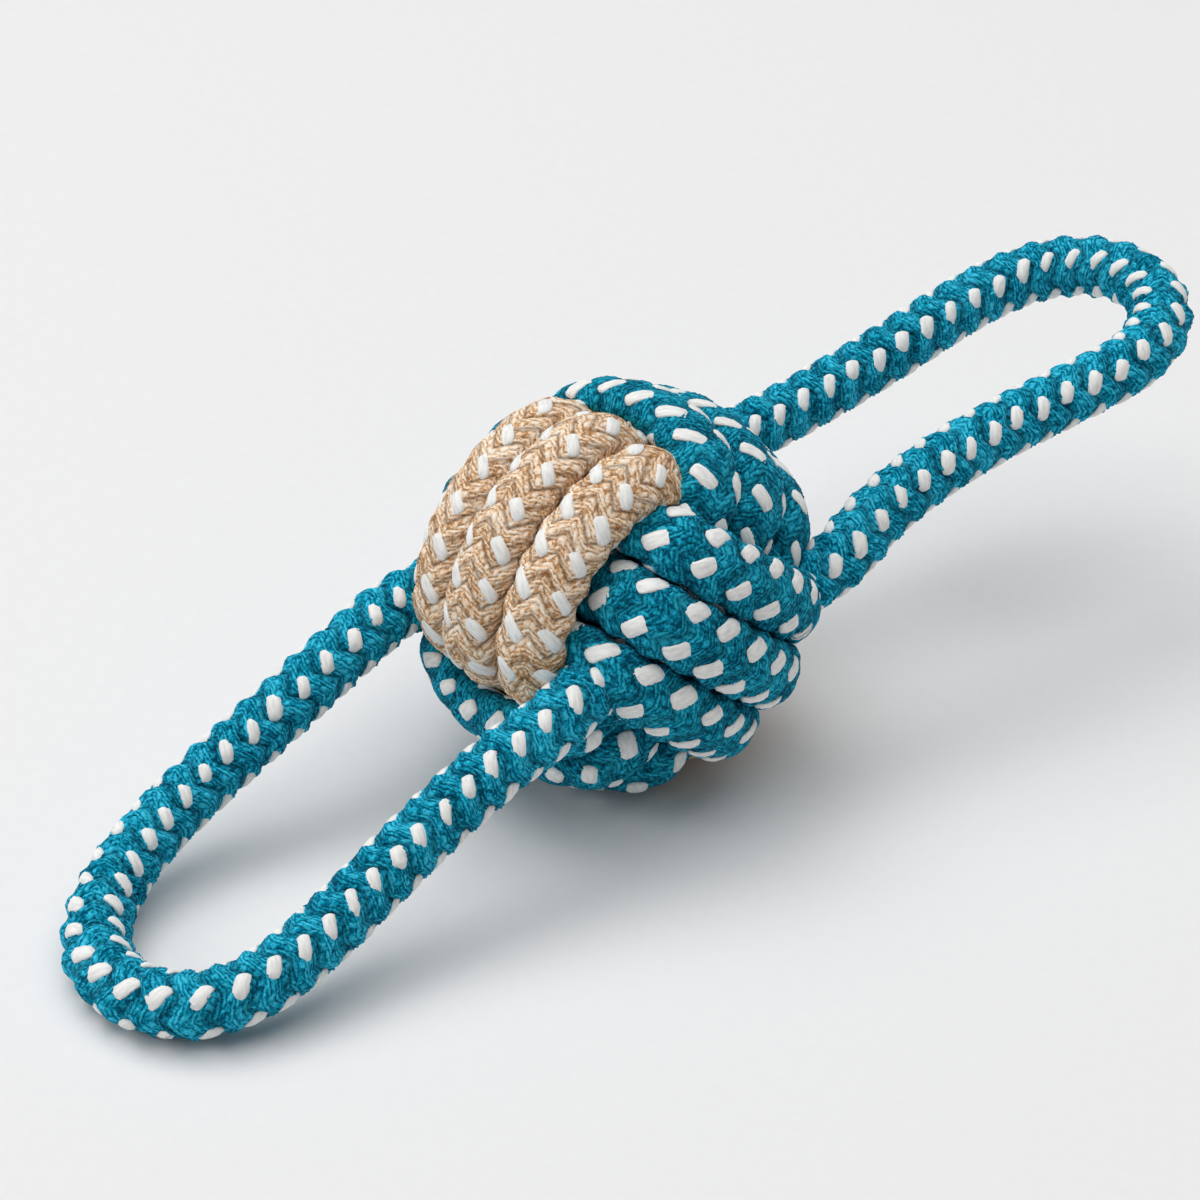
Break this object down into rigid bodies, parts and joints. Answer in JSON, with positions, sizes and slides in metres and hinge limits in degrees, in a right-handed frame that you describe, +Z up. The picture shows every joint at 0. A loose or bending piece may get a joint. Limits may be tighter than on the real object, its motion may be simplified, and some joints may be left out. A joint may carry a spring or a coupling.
{
  "type": "rope dog toy",
  "caption": "Ball-shaped rope knot in blue-green and natural braided cotton, with a loop handle of the same rope at each end, for a dog to chew, fetch and tug.",
  "frame": {"origin": "middle of the flat where the middle turn of the natural band presses on the ground under the knot", "axes": "+X along the toy from the left handle through the knot to the right handle, +Z up, +Y to the rear as the picture shows it"},
  "size_m": [0.2329, 0.0718, 0.0695],
  "materials": {
    "dyed_cotton": "braided cotton rope, dyed blue-green, matt",
    "undyed_cotton": "braided natural-coloured cotton and jute rope, matt",
    "white_cotton": "bleached cotton yarn in the braid, matt",
    "cotton_filler": "packed offcuts of the dyed rope, hidden"
  },
  "bodies": {
    "knot": {"core_ball": "cotton_filler", "natural_band": "undyed_cotton", "side_band": "dyed_cotton", "top_band": "dyed_cotton"},
    "left_loop": {"left_handle": "dyed_cotton"},
    "right_loop": {"right_handle": "dyed_cotton"}
  },
  "joints": [
    {"name": "left_loop_bend", "type": "hinge", "parent": "knot", "child": "left_loop", "pos_m": [-0.03799, 0, 0.03101], "axis": [0, 1, 0], "range_deg": [0, 60], "stiffness_Nm_per_rad": 0.15},
    {"name": "right_loop_bend", "type": "hinge", "parent": "knot", "child": "right_loop", "pos_m": [0.02324, 0, 0.03637], "axis": [0, -1, 0], "range_deg": [-33, 36], "stiffness_Nm_per_rad": 0.15}
  ]
}
